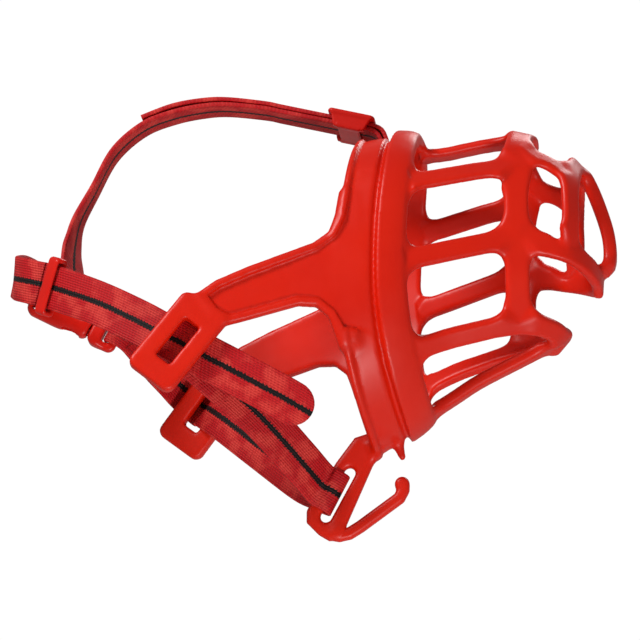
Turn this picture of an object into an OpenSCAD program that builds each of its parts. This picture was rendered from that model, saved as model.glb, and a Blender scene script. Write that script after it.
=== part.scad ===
// Basket muzzle: one rubber basket, a webbing neck strap with a side release buckle, and an overhead
// strap with a slider. Nose forward is +X, up is +Z, and the dog's right is -Y.
// The origin is the middle of the rear opening.

/* [Basket] */
// Forward lean of every cross-section, in degrees
lean_deg = 17.2; // [0:0.1:30]
// Thickness of the moulded rubber
wall = 4; // [2:0.1:8]
// Width of the lengthwise bars
bar_w = 9; // [4:0.5:16]
// Width of the bar along the crown
crown_w = 13; // [4:0.5:20]
// Width of the ring across the cheeks
ring_w = 11; // [5:0.5:18]
// Height of the crown above the axis, at the front of the rear band
crown_h = 58; // [30:1:90]
// Depth of the chin below the axis, at the front of the rear band
chin_h = 57.5; // [30:1:90]
// Half width of the basket at the front of the rear band
cheek_y = 47.5; // [25:0.5:75]
// How far the rear band flares out at its rear edge
band_flare = 7.5; // [0:0.5:15]
// How far the nose bar reaches forward
nose_x = 116.5; // [70:1:160]

/* [Strap arms] */
// Outward splay of the side arms, in degrees
arm_splay = 8; // [0:0.5:20]
// Thickness of a side arm
arm_t = 5; // [3:0.5:10]
// Half the distance between the slot frames
frame_y = 64.2; // [40:0.5:90]
// Length of a slot frame
frame_l = 43; // [25:0.5:60]
// Width of a slot frame
frame_w = 24; // [15:0.5:40]
// Thickness of a slot frame
frame_t = 6; // [3:0.5:10]
// Length of the slot
slot_l = 26; // [15:0.5:50]
// Width of the slot
slot_w = 8; // [4:0.5:20]
// Tilt of the slot frames in side view, in degrees
frame_tilt = 35; // [0:1:60]

/* [Collar hook] */
// Thickness of the chin slot and the hook, across the muzzle
hook_t = 5.4; // [3:0.1:10]
// Radius of the hook's arm
hook_r = 2.8; // [1.5:0.1:5]

/* [Webbing] */
// Webbing width
web_w = 20; // [10:0.5:40]
// Webbing thickness
web_t = 1.8; // [0.8:0.1:4]

/* [Buckle and slider] */
// Width of the buckle
buckle_w = 28; // [22:0.5:50]
// Thickness of the buckle
buckle_t = 9; // [6:0.5:16]
// Length of the socket half
socket_l = 31; // [20:0.5:50]
// Length of the slider along the strap
slider_l = 22; // [12:0.5:40]

/* [Hidden] */
$fn = 28;
lean = tan(lean_deg);
rubber = [0.88, 0.14, 0.06];
webbing = [0.62, 0.03, 0.06];
plastic = [0.80, 0.08, 0.08];
gap = 0.35;
buckle_at = [-120, 25, 45];     // the middle of the closed buckle
buckle_deg = 45;
seam = 6;                       // where the buckle's halves meet, along it from its middle
slider_at = [19.5, 0, 79.6];
slider_deg = 30.6;
hook_at = [-42, 0, -97.6];      // where the hook's arm bends

// ---- small vector helpers ----
function unit(v) = v / norm(v);
function flip(p, s) = [p[0], p[1] * s, p[2]];
function at(u, y, z) = [u + lean * z, y, z];
function last(v) = v[len(v) - 1];

// Catmull-Rom curve through the points, with n steps between each two
function knot(p, i) = p[max(0, min(len(p) - 1, i))];
function between(p, i, f) =
    let (a = knot(p, i - 1), b = knot(p, i), c = knot(p, i + 1), d = knot(p, i + 2))
    0.5 * (2 * b + (c - a) * f + (2 * a - 5 * b + 4 * c - d) * f * f
        + (3 * b - a - 3 * c + d) * f * f * f);
function smooth(p, n) =
    concat([for (i = [0:len(p) - 2]) for (k = [0:n - 1]) between(p, i, k / n)], [last(p)]);
function heading(p) =
    [for (i = [0:len(p) - 1]) unit(knot(p, i + 1) - knot(p, i - 1))];

// The point inside the basket that the wall faces away from
function core(p) = at(min(p[0] - lean * p[2], 66), 0, max(-16, min(14, p[2] * 0.35)));

// A closed solid through stations: centre c, side b and outward n at each, with one profile
module sweep(c, b, n, prof) {
    m = len(prof);
    k = len(c);
    pts = [for (i = [0:k - 1]) for (q = prof) c[i] + q[0] * b[i] + q[1] * n[i]];
    walls = [for (i = [0:k - 2]) for (j = [0:m - 1])
        let (a = i * m + j, d = i * m + (j + 1) % m, e = a + m, f = d + m)
        each [[a, d, f], [a, f, e]]];
    ends = [[for (j = [m - 1:-1:0]) j], [for (j = [0:m - 1]) (k - 1) * m + j]];
    polyhedron(pts, concat(walls, ends), convexity = 8);
}

// Rounded bar profile, its outer face on the surface
function bar_prof(w, t) = let (a = w / 2, r = t * 0.32)
    [[-a, -r], [-a + r, 0], [a - r, 0], [a, -r], [a, -t + r], [a - r, -t], [-a + r, -t], [-a, -t + r]];

// A basket bar along points on the outer surface
module rib(p, w, t = wall, steps = 3) {
    c = smooth(p, steps);
    h = heading(c);
    n = [for (i = [0:len(c) - 1]) let (o = unit(c[i] - core(c[i]))) unit(o - (o * h[i]) * h[i])];
    b = [for (i = [0:len(c) - 1]) cross(n[i], h[i])];
    sweep(c, b, n, bar_prof(w, t));
}

// A strip of webbing along p, its width along w at each point
function strip_prof(w, t) = [[-w / 2, -t / 2], [w / 2, -t / 2], [w / 2, t / 2], [-w / 2, t / 2]];
module strip(p, w, steps = 3, round_end = false) {
    c = smooth(p, steps);
    v = smooth(w, steps);
    h = heading(c);
    b = [for (i = [0:len(c) - 1]) unit(v[i] - (v[i] * h[i]) * h[i])];
    n = [for (i = [0:len(c) - 1]) cross(h[i], b[i])];
    turns = round_end ? [for (k = [1:5]) k * 16] : [];
    sweep(concat(c, [for (k = turns) last(c) + last(h) * web_w / 2 * sin(k)]),
        concat(b, [for (k = turns) last(b) * cos(k)]),
        concat(n, [for (k = turns) last(n)]), strip_prof(web_w, web_t));
}

// Puts a piece on the webbing at p, its X along heading h and its Z along the webbing's width
module facing(p, h, w) {
    x = unit(h);
    z = unit(w - (w * x) * x);
    y = cross(z, x);
    multmatrix([[x[0], y[0], z[0], p[0]], [x[1], y[1], z[1], p[1]], [x[2], y[2], z[2], p[2]]])
        children();
}

// A flat outline in side view, given some thickness across the muzzle
module side_plate(t) { rotate([90, 0, 0]) linear_extrude(t, center = true) children(); }

// ---- rear band ----
// u is the place across the band, t the angle round it from the crown, h the height above its surface.
// The band bows forward at the crown and under the chin.
function band_grow(u) = lookup(u, [[-8, 1], [6, 0.86], [16, 0.58], [25, 0.25], [33, 0]]);
function band_bow(z) = (z > 0 ? 6 : 10) * pow(z / 60, 2);
function band_point(u, t, h) =
    let (g = band_grow(u), up = cos(t) >= 0,
        a = cheek_y + band_flare * g + h,
        c = (up ? crown_h + 9 * g : chin_h + 10 * g) + h,
        e = up ? 3.1 : 1.9,
        y = a * pow(abs(sin(t)), 2 / e) * (sin(t) < 0 ? -1 : 1),
        z = c * pow(abs(cos(t)), 2 / e) * (up ? 1 : -1))
    at(u + band_bow(z), y, z);
band_prof = [[-8, 0.4], [-6.5, 1.3], [-4.2, 1.2], [-2.8, 0], [8.6, 0], [10.2, 1.5], [21, 1.4], [24, 0.3],
    [24, -3.4], [18, -3.6], [6, -3.6], [-8, -3]];
band_turns = [for (k = [0:47]) k * 7.5 + 3.75];
module rear_band() {
    color(rubber) difference() {
        pts = [for (t = band_turns) for (q = band_prof) band_point(q[0], t, q[1])];
        m = len(band_prof);
        k = len(band_turns);
        polyhedron(pts, [for (i = [0:k - 1]) for (j = [0:m - 1])
            let (a = i * m + j, d = i * m + (j + 1) % m,
                e = ((i + 1) % k) * m + j, f = ((i + 1) % k) * m + (j + 1) % m)
            each [[a, f, d], [a, e, f]]], convexity = 10);
        translate(at(12.2, 0, crown_h + 6)) cube([6, web_w + 3, 30], center = true);
    }
}

// ---- lengthwise bars, right side drawn with s = -1 and left side with s = 1 ----
function crown_path() = [at(27, 0, crown_h + 1.2), at(40, 0, 57), at(58, 0, 55), at(79, 0, 51.5)];
module crown_bar() { color(rubber) rib(crown_path(), crown_w); }

function upper_path() = [[35, 46.8, 36], [50.7, 43, 34.9], [67.9, 38.5, 33.6], [85.9, 34, 31.2]];
module upper_bar(s) { color(rubber) rib([for (p = upper_path()) flip(p, s)], bar_w); }

function cheek_path() = [[20.4, 50, 1.2], [41.9, 44.5, 0.5], [58.4, 39.5, -0.1], [74.4, 34.5, -0.7],
    [86, 32, -7.1], [95.5, 28.5, -13.3], [102.5, 20, -20], [105, 10, -24.6], [104.5, 0, -27]];
module cheek_bar(s) { color(rubber) rib([for (p = cheek_path()) flip(p, s)], bar_w); }

function lower_path() = [[13, 38, -38.2], [30.4, 33.6, -37.1], [47, 30, -37.5], [63.6, 26.5, -38.4],
    [72.5, 22.5, -41.5], [79.5, 12, -44.8], [80.5, 4, -46.8], [80, 0, -47]];
module lower_bar(s) { color(rubber) rib([for (p = lower_path()) flip(p, s)], bar_w); }

module chin_bar() {
    color(rubber) rib([at(27, 0, -chin_h - 0.5), [40, 0, -53.4], [60, 0, -50], [79, 0, -46.8]], bar_w,
        wall + 1.5);
}

function ring_half() = [[63.6, 26.5, -38.4], [68.9, 31.5, -20.6], [75, 34.5, -0.7], [80.3, 35, 16.7],
    [84.9, 34, 31.1], [88.8, 28.5, 41.6], [92, 15.5, 49.3], [93.9, 0, 51.5]];
module cheek_ring() {
    half = ring_half();
    color(rubber) rib(concat([for (p = half) flip(p, -1)],
        [for (i = [len(half) - 2:-1:0]) half[i]]), ring_w, steps = 2);
}

module nose_strut(s) {
    color(rubber) rib([for (p = [[90.5, 30.5, 38.7], [99.5, 28.5, 29.8], [107.5, 24.5, 21.6]]) flip(p, s)],
        bar_w - 1);
}

function nose_half() = [[95.5, 28.5, -13.3], [101.4, 31, -0.1], [105.4, 30.6, 12.7], [108, 24.5, 21.7],
    [111.4, 13.5, 28], [nose_x - 3, 0, 30.4]];
module nose_arch() {
    half = nose_half();
    color(rubber) rib(concat([for (p = half) flip(p, -1)],
        [for (i = [len(half) - 2:-1:0]) half[i]]), bar_w, steps = 2);
}

module nose_bar() {
    color(rubber) rib([[nose_x - 3, 0, 30.4], [nose_x + 0.4, 0, 12], [nose_x + 0.5, 0, -6],
        [nose_x - 3.5, 0, -19], [104.5, 0, -27]], bar_w, wall + 2);
}

// ---- strap arms ----
arm_outline = [[6, 38], [1, 29], [-5, 22.5], [-13, 19.6], [-25, 18.6], [-45, 17], [-60, 15],
    [-70, 11.5], [-66, 0], [-60, -6], [-52, -6.2], [-28, -6.4], [-20.5, -9], [-17, -14],
    [-15, -20], [-9, -20], [2, 0], [10, 36]];
module arm_plane(s) { translate([0, s * (cheek_y + 5.3), 0]) rotate([0, 0, -s * arm_splay]) children(); }
module side_arm(s) {
    color(rubber) arm_plane(s) difference() {
        side_plate(arm_t) polygon(arm_outline);
        translate([0, s * 2.6, 0]) side_plate(3) offset(r = 1.5) offset(r = -5) polygon(arm_outline);
    }
}

module frame_face(w, l, r) {
    offset(r = r) square([l - 2 * r, w - 2 * r], center = true);
}
module slot_frame(s) {
    color(rubber) translate([-83.6, s * frame_y, -7.2]) rotate([0, -frame_tilt, -s * arm_splay])
        side_plate(frame_t) difference() {
            frame_face(frame_w, frame_l, 5);
            frame_face(slot_w, slot_l, 1.5);
        }
}

// ---- chin slot, collar hook and spike ----
slot_from = [-29, -72.6];
slot_to = [-45.2, -88.4];
module chin_slot() {
    color(rubber) difference() {
        side_plate(hook_t) difference() {
            offset(r = 1.2) offset(r = -1.2) polygon([[-10, -58], [-22, -58], [-33, -66], [-37, -69.4],
                [-52.4, -83], [-54, -88], [-50.5, -95], [-47, -99], [-41, -98], [-38.5, -95.5],
                [-18.6, -72.6], [-12, -66]]);
            hull() for (q = [slot_from, slot_to]) translate(q) circle(r = 2.5);
        }
        translate(hook_at) rotate([90, 0, 0]) cylinder(r = 4 + gap, h = 20, center = true);
    }
}

hook_arm = [[-42, -98.4], [-37.5, -98.8], [-32, -97.4], [-11.4, -90.4], [-8.6, -87.6], [-8.1, -84.6]];
module collar_hook() {
    color(rubber) side_plate(hook_t) {
        translate([hook_at[0], hook_at[2]]) circle(r = 4);
        for (i = [0:len(hook_arm) - 2])
            hull() for (q = [hook_arm[i], hook_arm[i + 1]]) translate(q) circle(r = hook_r);
    }
}

module hook_spike() {
    color(rubber) translate([-4.4, 0, -74.2]) cylinder(r1 = 1.4, r2 = 3, h = 9.4);
}

// ---- webbing ----
w_neck = [0.7, 0, 0.71];
w_back = [0.32, 0, 0.95];
w_slot = [cos(frame_tilt), 0, sin(frame_tilt)];
module neck_strap_right() {
    color(webbing) strip([[-134.5, -14.5, 51.6], [-124, -27, 40.5], [-111.4, -41.5, 26.7], [-98, -52.5, 11],
        [-90.5, -57, 2], [-84.5, -58.8, -4.2]], [w_back, [0.42, 0, 0.9], w_neck, w_neck, w_neck, w_neck]);
}
module rear_bend() {
    color(webbing) strip([[-138, 25, 63], [-140, 24.8, 65], [-142.6, 22.4, 67.2], [-144.6, 18, 67.8],
        [-145.8, 12, 66.4], [-146, 5, 63.8], [-144.4, -2, 60.8], [-141.4, -7.9, 57.4],
        [-138.2, -11.4, 54.5], [-134.9, -14.2, 51.9]], [w_neck, w_neck, w_neck, [0.62, 0, 0.78],
        [0.5, 0, 0.86], w_back, w_back, w_back, w_back, w_back]);
}
module loose_tail() {
    p = [[-73.8, -58.2, -15.8], [-66, -56.8, -23.6], [-50, -54, -40], [-43.6, -52.4, -46.8]];
    color(webbing) strip(p, [for (q = p) w_neck], round_end = true);
}
module chin_strap_right() {
    p = [[-83.5, -56.2, -5.4], [-72, -49.6, -24], [-59, -35.5, -44], [-48, -17, -65], [-43, -5.6, -74.4]];
    color(webbing) strip(p, [for (q = p) w_neck]);
}
module chin_strap_left() {
    p = [[-81.8, 61.6, -7.4], [-80.6, 59.2, -9.6], [-75.4, 51, -18.6], [-62.5, 34, -42], [-49.6, 13.6, -65.8],
        [-43, 5.6, -74.4]];
    color(webbing) strip(p, [for (q = p) w_neck]);
}
module chin_loop() {
    half = [[-42.8, 5.4, -74.7], [-40.4, 4.4, -77.2], [-37.6, 2.6, -80]];
    p = concat([for (q = half) flip(q, -1)], [[-36.9, 0, -80.7]], [for (i = [2:-1:0]) half[i]]);
    color(webbing) strip(p, [for (q = p) w_neck]);
}
module neck_strap_left() {
    p = [[-105.3, 25.1, 30.3], [-103.8, 27, 28.6], [-102.3, 31, 26.7], [-100.8, 36.8, 24.4],
        [-98.9, 45, 21], [-96.2, 55, 16.8], [-92.6, 64.4, 11.2], [-89.4, 69.6, 5.8], [-86.4, 71.4, 0.6],
        [-84, 70.8, -3.2], [-82.6, 68.2, -5.8], [-82.1, 65.4, -6.6]];
    color(webbing) strip(p, [for (i = [0:11]) i < 7 ? w_neck : w_slot]);
}

// The overhead strap runs straight under the slider; t is the distance along it, h the height above it
function under_slider(t, h = 0) = slider_at
    + t * [cos(slider_deg), 0, -sin(slider_deg)] + h * [sin(slider_deg), 0, cos(slider_deg)];
layer = web_t + 0.45;
over_crown = [[-30.4, 0, 107], [-41.4, 0, 110], [-55, 0, 111.6], [-70, 0, 110.6]];
module overhead_front() {
    p = concat([for (t = [-40:6.25:10]) under_slider(t)], [[30.4, 0, 71.4], [31, 0, 67], [30.8, 0, 60]]);
    color(webbing) strip(p, [for (q = p) [0, 1, 0]], steps = 2);
}
module overhead_tail() {
    p = concat([for (t = [-40:6.25:10]) under_slider(t, layer)],
        [[32.8, 0, 72.9], [33.4, 0, 67], [33.1, 0, 60]]);
    color(webbing) strip(p, [for (q = p) [0, 1, 0]], steps = 2);
}
module overhead_tail_end() {
    p = concat([under_slider(-40.5, layer)],
        [for (i = [0:3]) over_crown[i] + [0.8, 0, layer + 0.3 * i]]);
    color(webbing) strip(p, [for (q = p) [0, 1, 0]]);
}
module overhead_rear() {
    p = concat([under_slider(-40.5)], over_crown, [[-86, 0, 103.4], [-99.8, 0, 89.8], [-110.4, 0, 79],
        [-115.8, -2, 69], [-118.8, -4.8, 60.5], [-120.6, -6.2, 53.1], [-122.2, -6.8, 45.6]]);
    w = concat([for (i = [0:6]) [0, 1, 0]], [[0.08, 0.99, 0], [0.2, 0.98, 0], [0.33, 0.94, 0],
        [0.38, 0.92, 0], [0.38, 0.92, 0]]);
    color(webbing) strip(p, w);
}

// ---- plastic hardware ----
module in_buckle() { translate(buckle_at) rotate([0, buckle_deg, 0]) children(); }
module block(x0, x1, y, z, r = 1) {
    translate([(x0 + x1) / 2, 0, 0]) rotate([90, 0, 0])
        linear_extrude(y, center = true) offset(r = r) square([x1 - x0 - 2 * r, z - 2 * r], center = true);
}

module buckle_socket() {
    color(plastic) in_buckle() difference() {
        block(seam - socket_l, seam, buckle_t, buckle_w, 3);
        translate([-1.9, 0, 0]) cube([17, 5, buckle_w - 6], center = true);
        block(seam - socket_l + 2.4, seam - socket_l + 6.8, 20, web_w + 2);
        translate([-2, 0, 0]) cube([9, 5, buckle_w + 4], center = true);
    }
}
module buckle_plug() {
    color(plastic) in_buckle() {
        difference() {
            block(seam + gap, 20, buckle_t - 1, buckle_w, 2.5);
            block(12.4, 16.6, 20, web_w + 2);
        }
        translate([1.5, 0, 0]) cube([12, 4.2, 5], center = true);
    }
}
module prong(s) {
    color(plastic) in_buckle() rotate([90, 0, 0]) linear_extrude(4.2, center = true)
        polygon([for (q = [[6, 8.2], [-6, 8.4], [-8.6, 9.4], [-8.6, 10.3], [-5, 10.7], [6, 10.7]])
            [q[0], s * q[1]]]);
}

module keeper() {
    color(plastic) facing([-131, -18.6, 48], [0.53, -0.63, -0.56], [0.34, 0, 0.94]) difference() {
        block(-3, 3, 7, web_w + 7, 1.2);
        block(-6, 6, 3.2, web_w + 2.4, 0.8);
    }
}

module slider() {
    color(plastic) translate(slider_at) rotate([0, slider_deg, 0]) difference() {
        translate([0, 0, layer / 2]) linear_extrude(8, center = true)
            offset(r = 2.5) square([slider_l - 5, web_w + 3], center = true);
        translate([0, 0, layer / 2]) cube([60, web_w + 0.8, web_t + layer + 0.8], center = true);
        translate([0, 0, 8]) cube([5, web_w - 2, 12], center = true);
    }
}

rear_band();
crown_bar();
upper_bar(-1);  // upper_bar_right
upper_bar(1);  // upper_bar_left
cheek_bar(-1);  // cheek_bar_right
cheek_bar(1);  // cheek_bar_left
lower_bar(-1);  // lower_bar_right
lower_bar(1);  // lower_bar_left
chin_bar();
cheek_ring();
nose_strut(-1);  // nose_strut_right
nose_strut(1);  // nose_strut_left
nose_arch();
nose_bar();
side_arm(-1);  // side_arm_right
side_arm(1);  // side_arm_left
slot_frame(-1);  // slot_frame_right
slot_frame(1);  // slot_frame_left
chin_slot();
hook_spike();
collar_hook();
chin_strap_right();
chin_strap_left();
chin_loop();
loose_tail();
neck_strap_right();
neck_strap_left();
rear_bend();
keeper();
buckle_socket();
buckle_plug();
prong(1);  // prong_upper
prong(-1);  // prong_lower
overhead_front();
overhead_tail();
overhead_tail_end();
overhead_rear();
slider();
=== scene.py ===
"""A rubber basket muzzle: moulded basket with a collar hook, webbing neck and overhead straps,
a side release buckle, a strap keeper and a slider. Lengths in the functions are in millimetres."""

import math

import bmesh
import bpy
import numpy as np
from mathutils import Matrix, Vector


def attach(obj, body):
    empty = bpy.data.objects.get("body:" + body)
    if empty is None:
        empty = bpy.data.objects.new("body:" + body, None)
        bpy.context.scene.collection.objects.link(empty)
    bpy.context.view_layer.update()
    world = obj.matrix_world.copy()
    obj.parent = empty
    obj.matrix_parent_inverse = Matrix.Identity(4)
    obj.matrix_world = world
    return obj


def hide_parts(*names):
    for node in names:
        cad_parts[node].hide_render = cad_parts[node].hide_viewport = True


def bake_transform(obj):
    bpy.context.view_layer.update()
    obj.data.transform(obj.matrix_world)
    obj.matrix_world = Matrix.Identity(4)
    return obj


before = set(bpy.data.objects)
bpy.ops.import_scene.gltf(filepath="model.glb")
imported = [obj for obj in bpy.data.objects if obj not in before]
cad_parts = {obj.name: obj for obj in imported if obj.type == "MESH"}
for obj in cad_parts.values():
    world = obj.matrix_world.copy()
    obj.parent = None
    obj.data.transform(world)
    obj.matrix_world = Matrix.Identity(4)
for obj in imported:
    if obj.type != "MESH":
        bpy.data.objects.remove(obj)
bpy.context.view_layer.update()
MM = 0.001
FAR = 1e6  # a distance past everything


# ---------------------------------------------------------------- camera, light and floor

def placed(name, data):
    """A new object in the scene that shows the data."""
    made = bpy.data.objects.new(name, data)
    bpy.context.collection.objects.link(made)
    return made


def camera():
    """Long lens, a little below the basket, looking up at its right side, the rig rolled."""
    right = Vector((0.951, 0.080, -0.2985)).normalized()
    back = Vector((0.0, -0.9659, -0.2588))
    up = back.cross(right).normalized()
    back = right.cross(up).normalized()
    data = bpy.data.cameras.new("camera")
    data.lens = 400
    data.sensor_width = 36
    data.clip_start, data.clip_end = 0.05, 20
    target, distance = Vector((-0.0205, -0.046, -0.0128)), 3.16
    place = Matrix((right, up, back)).transposed().to_4x4()
    place.translation = target + back * distance
    cam = placed("camera", data)
    cam.matrix_world = place
    bpy.context.scene.camera = cam


def soft_light(name, spot, aim, size, watts):
    """A round white lamp at spot that faces aim."""
    data = bpy.data.lights.new(name, "AREA")
    data.shape = "DISK"
    data.size = size
    data.energy = watts
    lamp = placed(name, data)
    lamp.location = spot
    lamp.rotation_mode = "QUATERNION"
    lamp.rotation_quaternion = (Vector(aim) - Vector(spot)).to_track_quat("-Z", "Y")


def studio():
    """A white room seen as a backdrop, dimmer as a light, with a key light from above and in front,
    a small low light and a weak one from behind."""
    world = bpy.data.worlds.new("white studio")
    bpy.context.scene.world = world
    world.use_nodes = True
    tree = world.node_tree
    rays = node(tree, "ShaderNodeLightPath", {}).outputs
    shine = node(tree, "ShaderNodeMath", {0: rays["Is Glossy Ray"], 1: 0.25, 2: 0.02},
                 operation="MULTIPLY_ADD").outputs[0]
    lit = node(tree, "ShaderNodeMath", {0: rays["Is Diffuse Ray"], 1: 0.25, 2: shine},
               operation="MULTIPLY_ADD").outputs[0]
    seen = node(tree, "ShaderNodeMath", {0: rays["Is Camera Ray"], 1: 1.0, 2: lit},
                operation="MULTIPLY_ADD").outputs[0]
    backdrop = tree.nodes["Background"].inputs
    backdrop["Color"].default_value = (1, 1, 1, 1)
    tree.links.new(seen, backdrop["Strength"])
    soft_light("key", (-0.45, -0.85, 0.95), (0, 0, 0), 0.45, 14)
    soft_light("low light", (0.02, -0.72, -0.82), (0, 0, -0.03), 0.2, 5)
    soft_light("back light", (0.6, 0.6, 0.7), (0, 0, 0), 0.5, 4)
    bpy.context.scene.view_settings.view_transform = "Standard"

    span, level = 6.0, -0.95
    corners = ((-span, -span), (span, -span), (span, span), (-span, span))
    mesh = bpy.data.meshes.new("floor")
    mesh.from_pydata([(x, y, level) for x, y in corners], [], [(0, 1, 2, 3)])
    mesh.materials.append(painted_floor())
    ground = placed("floor", mesh)


# ---------------------------------------------------------------- materials

def linear(hex_colour):
    """sRGB hex to the linear colour that a shader takes."""
    parts = [int(hex_colour[i:i + 2], 16) / 255 for i in (1, 3, 5)]
    return [p / 12.92 if p <= 0.04045 else ((p + 0.055) / 1.055) ** 2.4 for p in parts] + [1.0]


def node(tree, kind, inputs, **settings):
    """Adds one node, with its settings, and for each input a value or the socket that feeds it."""
    made = tree.nodes.new(kind)
    for key, value in settings.items():
        setattr(made, key, value)
    for key, value in inputs.items():
        if isinstance(value, bpy.types.NodeSocket):
            tree.links.new(value, made.inputs[key])
        else:
            made.inputs[key].default_value = value
    return made


def new_material(name, roughness, ior):
    """A material with its node tree and its surface shader."""
    made = bpy.data.materials.new(name)
    made.use_nodes = True
    shader = made.node_tree.nodes["Principled BSDF"]
    shader.inputs["Roughness"].default_value = roughness
    shader.inputs["IOR"].default_value = ior
    shader.inputs["Specular IOR Level"].default_value = 0.28
    return made, made.node_tree, shader


def moulded_finish(name, light, dark, roughness, ior, clouds_mm, grain_mm, grain_height_mm):
    """Moulded in one colour: faint clouding in the pigment and a fine satin grain from the tool."""
    made, tree, shader = new_material(name, roughness, ior)
    place = node(tree, "ShaderNodeTexCoord", {}).outputs["Object"]
    clouds = node(tree, "ShaderNodeTexNoise",
                  {"Vector": place, "Scale": 1000 / clouds_mm, "Detail": 3}).outputs[0]
    colour = node(tree, "ShaderNodeMix", {0: clouds, 6: linear(dark), 7: linear(light)},
                  data_type="RGBA").outputs[2]
    tree.links.new(colour, shader.inputs["Base Color"])
    grain = node(tree, "ShaderNodeTexNoise",
                 {"Vector": place, "Scale": 1000 / grain_mm, "Detail": 2}).outputs[0]
    flow = node(tree, "ShaderNodeTexNoise",
                {"Vector": place, "Scale": 1000 / (grain_mm * 9), "Detail": 1}).outputs[0]
    gloss = node(tree, "ShaderNodeMath", {0: flow, 1: 0.16, 2: roughness - 0.08},
                 operation="MULTIPLY_ADD").outputs[0]
    tree.links.new(gloss, shader.inputs["Roughness"])
    height = node(tree, "ShaderNodeMath", {0: flow, 1: 3.0, 2: grain},
                  operation="MULTIPLY_ADD").outputs[0]
    bump = node(tree, "ShaderNodeBump",
                {"Height": height, "Strength": 0.5, "Distance": grain_height_mm * MM}).outputs[0]
    tree.links.new(bump, shader.inputs["Normal"])
    return made, shader


def basket_rubber():
    """Thermoplastic rubber, injection moulded: a saturated warm red with soft satin highlights."""
    made, shader = moulded_finish("moulded rubber", "#DE2002", "#CE1400", 0.38, 1.50, 30, 0.9, 0.022)
    shader.inputs["Subsurface Weight"].default_value = 0.04
    shader.inputs["Subsurface Radius"].default_value = (1.0, 0.08, 0.03)
    shader.inputs["Subsurface Scale"].default_value = 0.0015
    return made


def buckle_plastic():
    """Acetal, injection moulded: a cooler red than the rubber, and a little glossier."""
    return moulded_finish("moulded acetal", "#DC1E10", "#CA1207", 0.32, 1.48, 20, 0.6, 0.012)[0]


def strap_webbing():
    """Flat woven polyester: lengthwise ribs crossed by the weft, with a ragged black centre line.
    Ribs are 1.1 mm apart and weft rows 0.9 mm, a little coarser than the real ones so they show."""
    made, tree, shader = new_material("woven polyester", 0.62, 1.5)
    shader.inputs["Sheen Weight"].default_value = 0.03
    shader.inputs["Sheen Roughness"].default_value = 0.4
    shader.inputs["Sheen Tint"].default_value = linear("#FF8A80")
    uv = node(tree, "ShaderNodeUVMap", {}, uv_map="strap").outputs[0]
    parts = node(tree, "ShaderNodeSeparateXYZ", {0: uv}).outputs
    turns = node(tree, "ShaderNodeMath", {0: parts[0], 1: 2 * math.pi / 1.1},
                 operation="MULTIPLY").outputs[0]
    rib = node(tree, "ShaderNodeMath", {0: turns}, operation="SINE").outputs[0]
    row = node(tree, "ShaderNodeMath", {0: parts[0], 1: 1.1}, operation="DIVIDE").outputs[0]
    row = node(tree, "ShaderNodeMath", {0: row}, operation="FLOOR").outputs[0]
    lean = node(tree, "ShaderNodeMath", {0: parts[1], 1: 2 * math.pi / 1.8},
                operation="MULTIPLY").outputs[0]
    lean = node(tree, "ShaderNodeMath", {0: row, 1: math.pi / 2, 2: lean},
                operation="MULTIPLY_ADD").outputs[0]
    weft = node(tree, "ShaderNodeMath", {0: lean}, operation="SINE").outputs[0]
    threads = node(tree, "ShaderNodeMath", {0: weft, 1: 0.45, 2: rib},
                   operation="MULTIPLY_ADD").outputs[0]
    fuzz = node(tree, "ShaderNodeTexNoise", {"Vector": uv, "Scale": 1.3, "Detail": 3},
                noise_dimensions="2D").outputs[0]
    patches = node(tree, "ShaderNodeTexNoise", {"Vector": uv, "Scale": 0.11, "Detail": 2},
                   noise_dimensions="2D").outputs[0]
    tone = node(tree, "ShaderNodeMath", {0: fuzz, 1: 0.6, 2: 0.2},
                operation="MULTIPLY_ADD").outputs[0]
    tone = node(tree, "ShaderNodeMath", {0: threads, 1: 0.22, 2: tone}, operation="MULTIPLY_ADD",
                use_clamp=True).outputs[0]
    plain = node(tree, "ShaderNodeMix", {0: tone, 6: linear("#8A0006"), 7: linear("#D80C18")},
                 data_type="RGBA").outputs[2]
    bright = node(tree, "ShaderNodeMix", {0: tone, 6: linear("#A8040A"), 7: linear("#EC463C")},
                  data_type="RGBA").outputs[2]
    # random patches where the red turns brighter and pinker
    pinker_patches = node(tree, "ShaderNodeMapRange", {"Value": patches, "From Min": 0.42, "From Max": 0.7},
                interpolation_type="SMOOTHSTEP").outputs[0]
    red = node(tree, "ShaderNodeMix", {0: pinker_patches, 6: plain, 7: bright}, data_type="RGBA").outputs[2]
    ragged = node(tree, "ShaderNodeMath", {0: fuzz, 1: 1.4, 2: -0.7},
                  operation="MULTIPLY_ADD").outputs[0]
    ragged = node(tree, "ShaderNodeMath", {0: weft, 1: 0.22, 2: ragged},
                  operation="MULTIPLY_ADD").outputs[0]
    off_centre = node(tree, "ShaderNodeMath", {0: parts[0]}, operation="ABSOLUTE").outputs[0]
    off_centre = node(tree, "ShaderNodeMath", {0: off_centre, 1: ragged}, operation="ADD").outputs[0]
    stripe = node(tree, "ShaderNodeMapRange", {"Value": off_centre, "From Min": 1.1, "From Max": 1.4},
                  interpolation_type="SMOOTHSTEP").outputs[0]
    colour = node(tree, "ShaderNodeMix", {0: stripe, 6: linear("#080102"), 7: red},
                  data_type="RGBA").outputs[2]
    tree.links.new(colour, shader.inputs["Base Color"])
    relief = node(tree, "ShaderNodeMath", {0: threads, 1: 0.6, 2: fuzz},
                  operation="MULTIPLY_ADD").outputs[0]
    bump = node(tree, "ShaderNodeBump",
                {"Height": relief, "Strength": 0.8, "Distance": 0.18 * MM}).outputs[0]
    tree.links.new(bump, shader.inputs["Normal"])
    return made


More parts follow.
